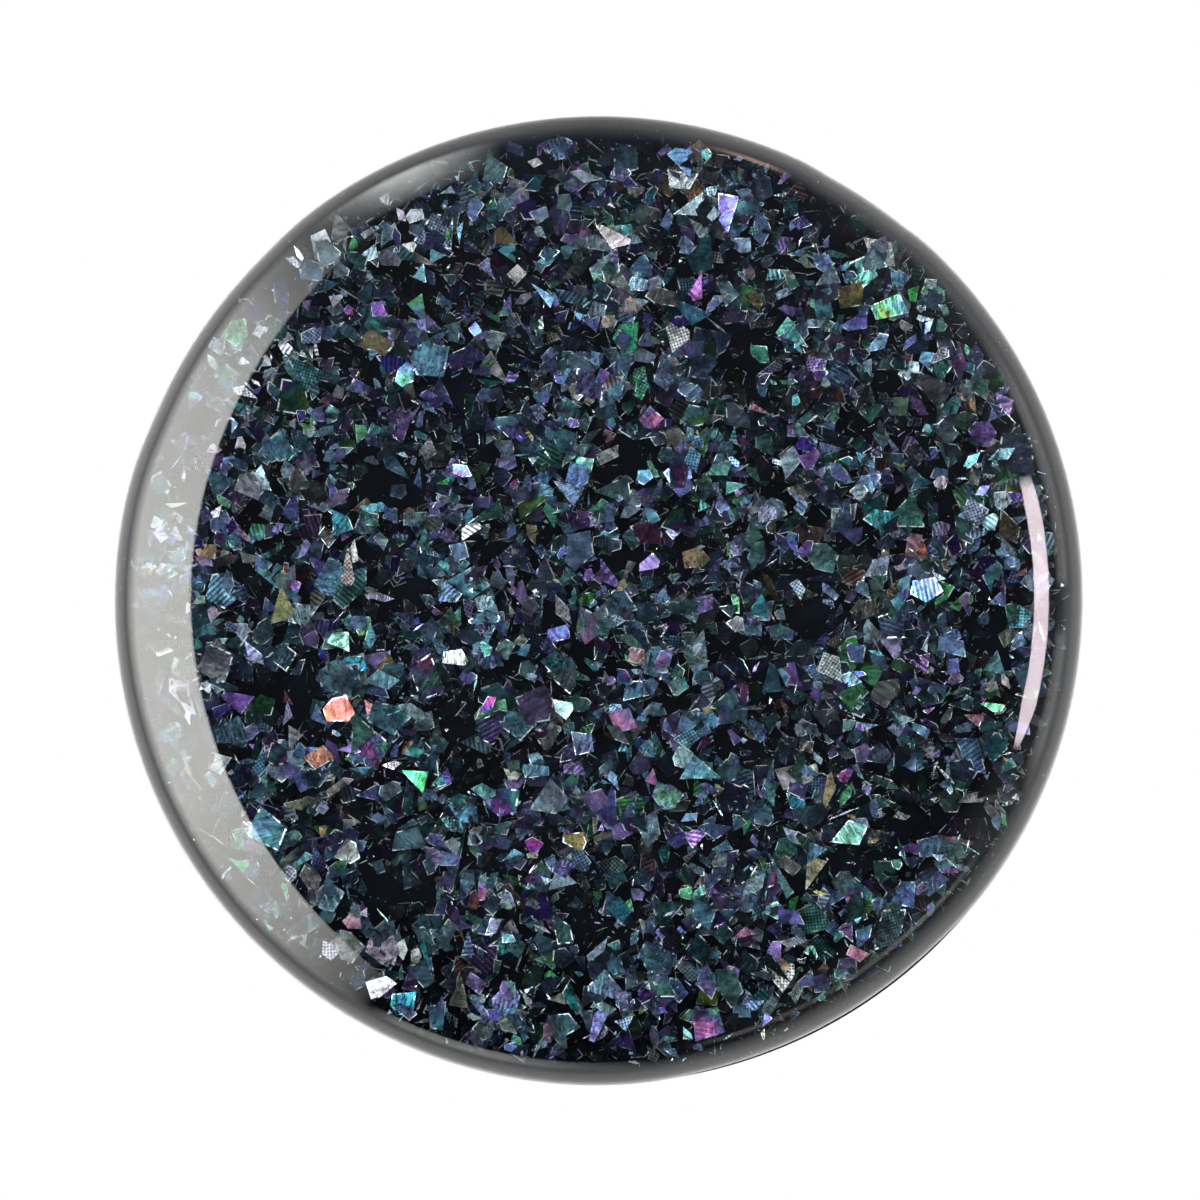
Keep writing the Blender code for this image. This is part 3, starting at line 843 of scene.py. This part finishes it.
def metal(name, colour, rough, axis, grain):
    """Metal that was turned about an axis: fine rings round it, faint stains, and a
    roughness that varies with both."""
    made = Finish(name, colour, metallic=1.0)
    spot = made.place((axis[0], 0, axis[1]))
    x, y, z = made.split(spot)
    rings = made.node("ShaderNodeCombineXYZ", {}, {"X": (x * x + z * z) ** 0.5, "Y": y})
    lathe = made.noise(rings, grain, 3, 0.7)
    stain = made.noise(spot, 1.6 * MM, 4, 0.6)
    dark = tuple(c * 0.78 for c in colour)
    worn = made.mix(made.spread(stain, 0.45, 0.75), colour, dark)
    made.feed("Base Color", made.mix(made.spread(lathe, 0.35, 0.65, 0, 0.35), worn, dark))
    made.feed("Roughness", made.spread(lathe, 0.3, 0.7, rough * 0.7, rough * 1.35) + stain * 0.08)
    made.bump(lathe, 0.012 * MM, 0.35)
    return made


for side in ("left", "right"):
    post_low, post_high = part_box(f"{side}_post")
    axis_x = (post_low.x + post_high.x) / 2
    shank = SHANK_RADIUS
    waist = shank - GROOVE_DEPTH
    groove = post_high.y - 2.3 * MM
    head_top = post_low.y + 0.5 * MM
    post = turned(f"{side}_needle", rounded([
        (0, post_high.y),
        (0.06 * MM, post_high.y - 0.04 * MM),
        (shank, post_high.y - 1.3 * MM),
        (shank, groove + 0.3 * MM),
        (waist, groove + 0.15 * MM),
        (waist, groove - 0.15 * MM),
        (shank, groove - 0.3 * MM),
        (shank, head_top + 0.25 * MM),
        (shank + 0.25 * MM, head_top),
        (post_high.x - axis_x, head_top),
        (post_high.x - axis_x, post_low.y),
        (0, post_low.y),
    ], 0.12 * MM, 3), (axis_x, 0), 96)
    drawn_steel = metal(f"{side}_drawn_steel", STEEL_COLOUR, 0.22, (axis_x, 0), 0.05 * MM)
    fit(post, drawn_steel, "pin", f"{side}_post")
    metal_pieces.objects.link(post)


# -------------------------------------------------------------- the clutches
# Ball-lock clutches turned from brass and plated with nickel. The flange presses on the
# cloth, and pulling the cap lifts the caged balls out of the body's cone.

NICKEL_COLOUR = (0.58, 0.565, 0.535)
COILS = 3
WIRE_SIDES = 10

for side in ("left", "right"):
    body_low, body_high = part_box(f"{side}_clutch_body")
    axis_x = (body_low.x + body_high.x) / 2
    nickel = metal(f"{side}_nickel", NICKEL_COLOUR, 0.14, (axis_x, 0), 0.09 * MM)
    steel = metal(f"{side}_bright_steel", STEEL_COLOUR, 0.2, (axis_x, 0), 0.06 * MM)

    base = body_low.y
    flange = body_high.x - axis_x
    barrel = 3.5 * MM
    chamber = 2.75 * MM
    lip = body_high.y - 0.25 * MM
    window = 2.45 * MM
    mouth = 0.72 * MM
    body = turned(f"{side}_flanged_barrel", closed([
        (window, body_high.y),
        (barrel - 0.1 * MM, body_high.y),
        (barrel, body_high.y - 0.1 * MM),
        (barrel, base + 0.9 * MM),
        (barrel + 0.2 * MM, base + 0.7 * MM),
        (flange - 0.05 * MM, base + 0.7 * MM),
        (flange, base + 0.35 * MM),
        (flange - 0.05 * MM, base),
        (mouth + 0.25 * MM, base),
        (mouth, base + 0.25 * MM),
        (mouth, base + 0.55 * MM),
        (1.68 * MM, base + 0.55 * MM),
        (2.11 * MM, base + 2.6 * MM),
        (chamber, base + 2.6 * MM),
        (chamber, lip),
        (window, lip),
    ], 0.2 * MM), (axis_x, 0), 128, ring=True)
    fit(body, nickel, f"{side}_clutch", f"{side}_clutch_body")

    lid_low, lid_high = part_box(f"{side}_clutch_lid")
    lid_bore = 1.42 * MM
    lid = turned(f"{side}_spring_washer", closed([
        (lid_bore, lid_high.y),
        (lid_high.x - axis_x, lid_high.y),
        (lid_high.x - axis_x, lid_low.y),
        (lid_bore, lid_low.y),
    ], 0.05 * MM, 3), (axis_x, 0), 96, ring=True)
    fit(lid, steel, f"{side}_clutch", f"{side}_clutch_lid")

    cap_low, cap_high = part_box(f"{side}_pull_cap")
    cap = 4.3 * MM
    cap_bore = 3.62 * MM
    boss = 2.0 * MM
    boss_bore = 1.35 * MM
    brim = cap_high.x - axis_x
    top = cap_high.y
    ceiling = top - 0.5 * MM
    boss_foot = top - 2.1 * MM
    knob = turned(f"{side}_cap_knob", rounded([
        (0, top),
        (cap - 0.8 * MM, top - 0.06 * MM),
        (cap - 0.22 * MM, top - 0.24 * MM),
        (cap, top - 0.85 * MM),
        (cap, top - 1.9 * MM),
        (cap - 0.12 * MM, top - 2.0 * MM),
        (cap - 0.12 * MM, top - 2.2 * MM),
        (cap, top - 2.3 * MM),
        (cap, cap_low.y + 0.95 * MM),
        (brim, cap_low.y + 0.6 * MM),
        (brim, cap_low.y),
        (cap_bore, cap_low.y),
        (cap_bore, ceiling),
        (boss, ceiling),
        (boss, boss_foot),
        (boss_bore, boss_foot),
        (boss_bore, ceiling),
        (0, ceiling),
    ], 0.22 * MM), (axis_x, 0), 128)
    fit(knob, nickel, f"{side}_cap", f"{side}_pull_cap")

    balls = []
    for i in (1, 2, 3):
        ball_low, ball_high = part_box(f"{side}_lock_ball_{i}")
        centre = (ball_low + ball_high) / 2
        lean = np.linspace(0, np.pi, 17)
        arc = np.stack([np.sin(lean), np.cos(lean)], 1) * (ball_high.y - ball_low.y) / 2 + [0, centre.y]
        ball = turned(f"{side}_steel_ball_{i}", arc, (centre.x, centre.z), 32)
        fit(ball, steel, f"{side}_lock_ball_{i}", f"{side}_lock_ball_{i}")
        balls.append(ball)

    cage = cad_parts[f"{side}_ball_cage"]
    cage.data.materials.clear()
    cage.data.materials.append(steel.material)

    spring_low, spring_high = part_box(f"{side}_clutch_spring")
    wire = 0.1 * MM
    length = spring_high.y - spring_low.y
    coil = spring_high.x - axis_x - wire
    s = np.linspace(0, 1, 97)
    sweep = 2 * np.pi * COILS * s
    lift = spring_low.y + wire + (length - 2 * wire) * (s - np.sin(2 * np.pi * s) / (4 * np.pi))
    outward = np.stack([np.cos(sweep), np.zeros_like(s), -np.sin(sweep)], 1)[:, None]
    axle = np.array([0, 1, 0])
    centre_line = np.array([axis_x, 0, 0]) + coil * outward + lift[:, None, None] * axle
    around = np.arange(WIRE_SIDES)[None, :, None] * 2 * np.pi / WIRE_SIDES
    tube = centre_line + wire * (np.cos(around) * outward + np.sin(around) * axle)
    low = np.arange(len(s) - 1)[:, None] * WIRE_SIDES
    high = low + WIRE_SIDES
    here = np.arange(WIRE_SIDES)
    there = (here + 1) % WIRE_SIDES
    quads = np.stack(np.broadcast_arrays(low + here, low + there, high + there, high + here), -1)
    last = (len(s) - 1) * WIRE_SIDES
    ends = [here.tolist(), (last + here[::-1]).tolist()]
    spring = solid(f"{side}_coil", tube.reshape(-1, 3), quads.reshape(-1, 4).tolist() + ends)
    fit(spring, steel, f"{side}_clutch", f"{side}_clutch_spring")
    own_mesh(spring)

    for piece in (body, lid, knob, cage, spring, *balls):
        metal_pieces.objects.link(piece)


low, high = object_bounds()
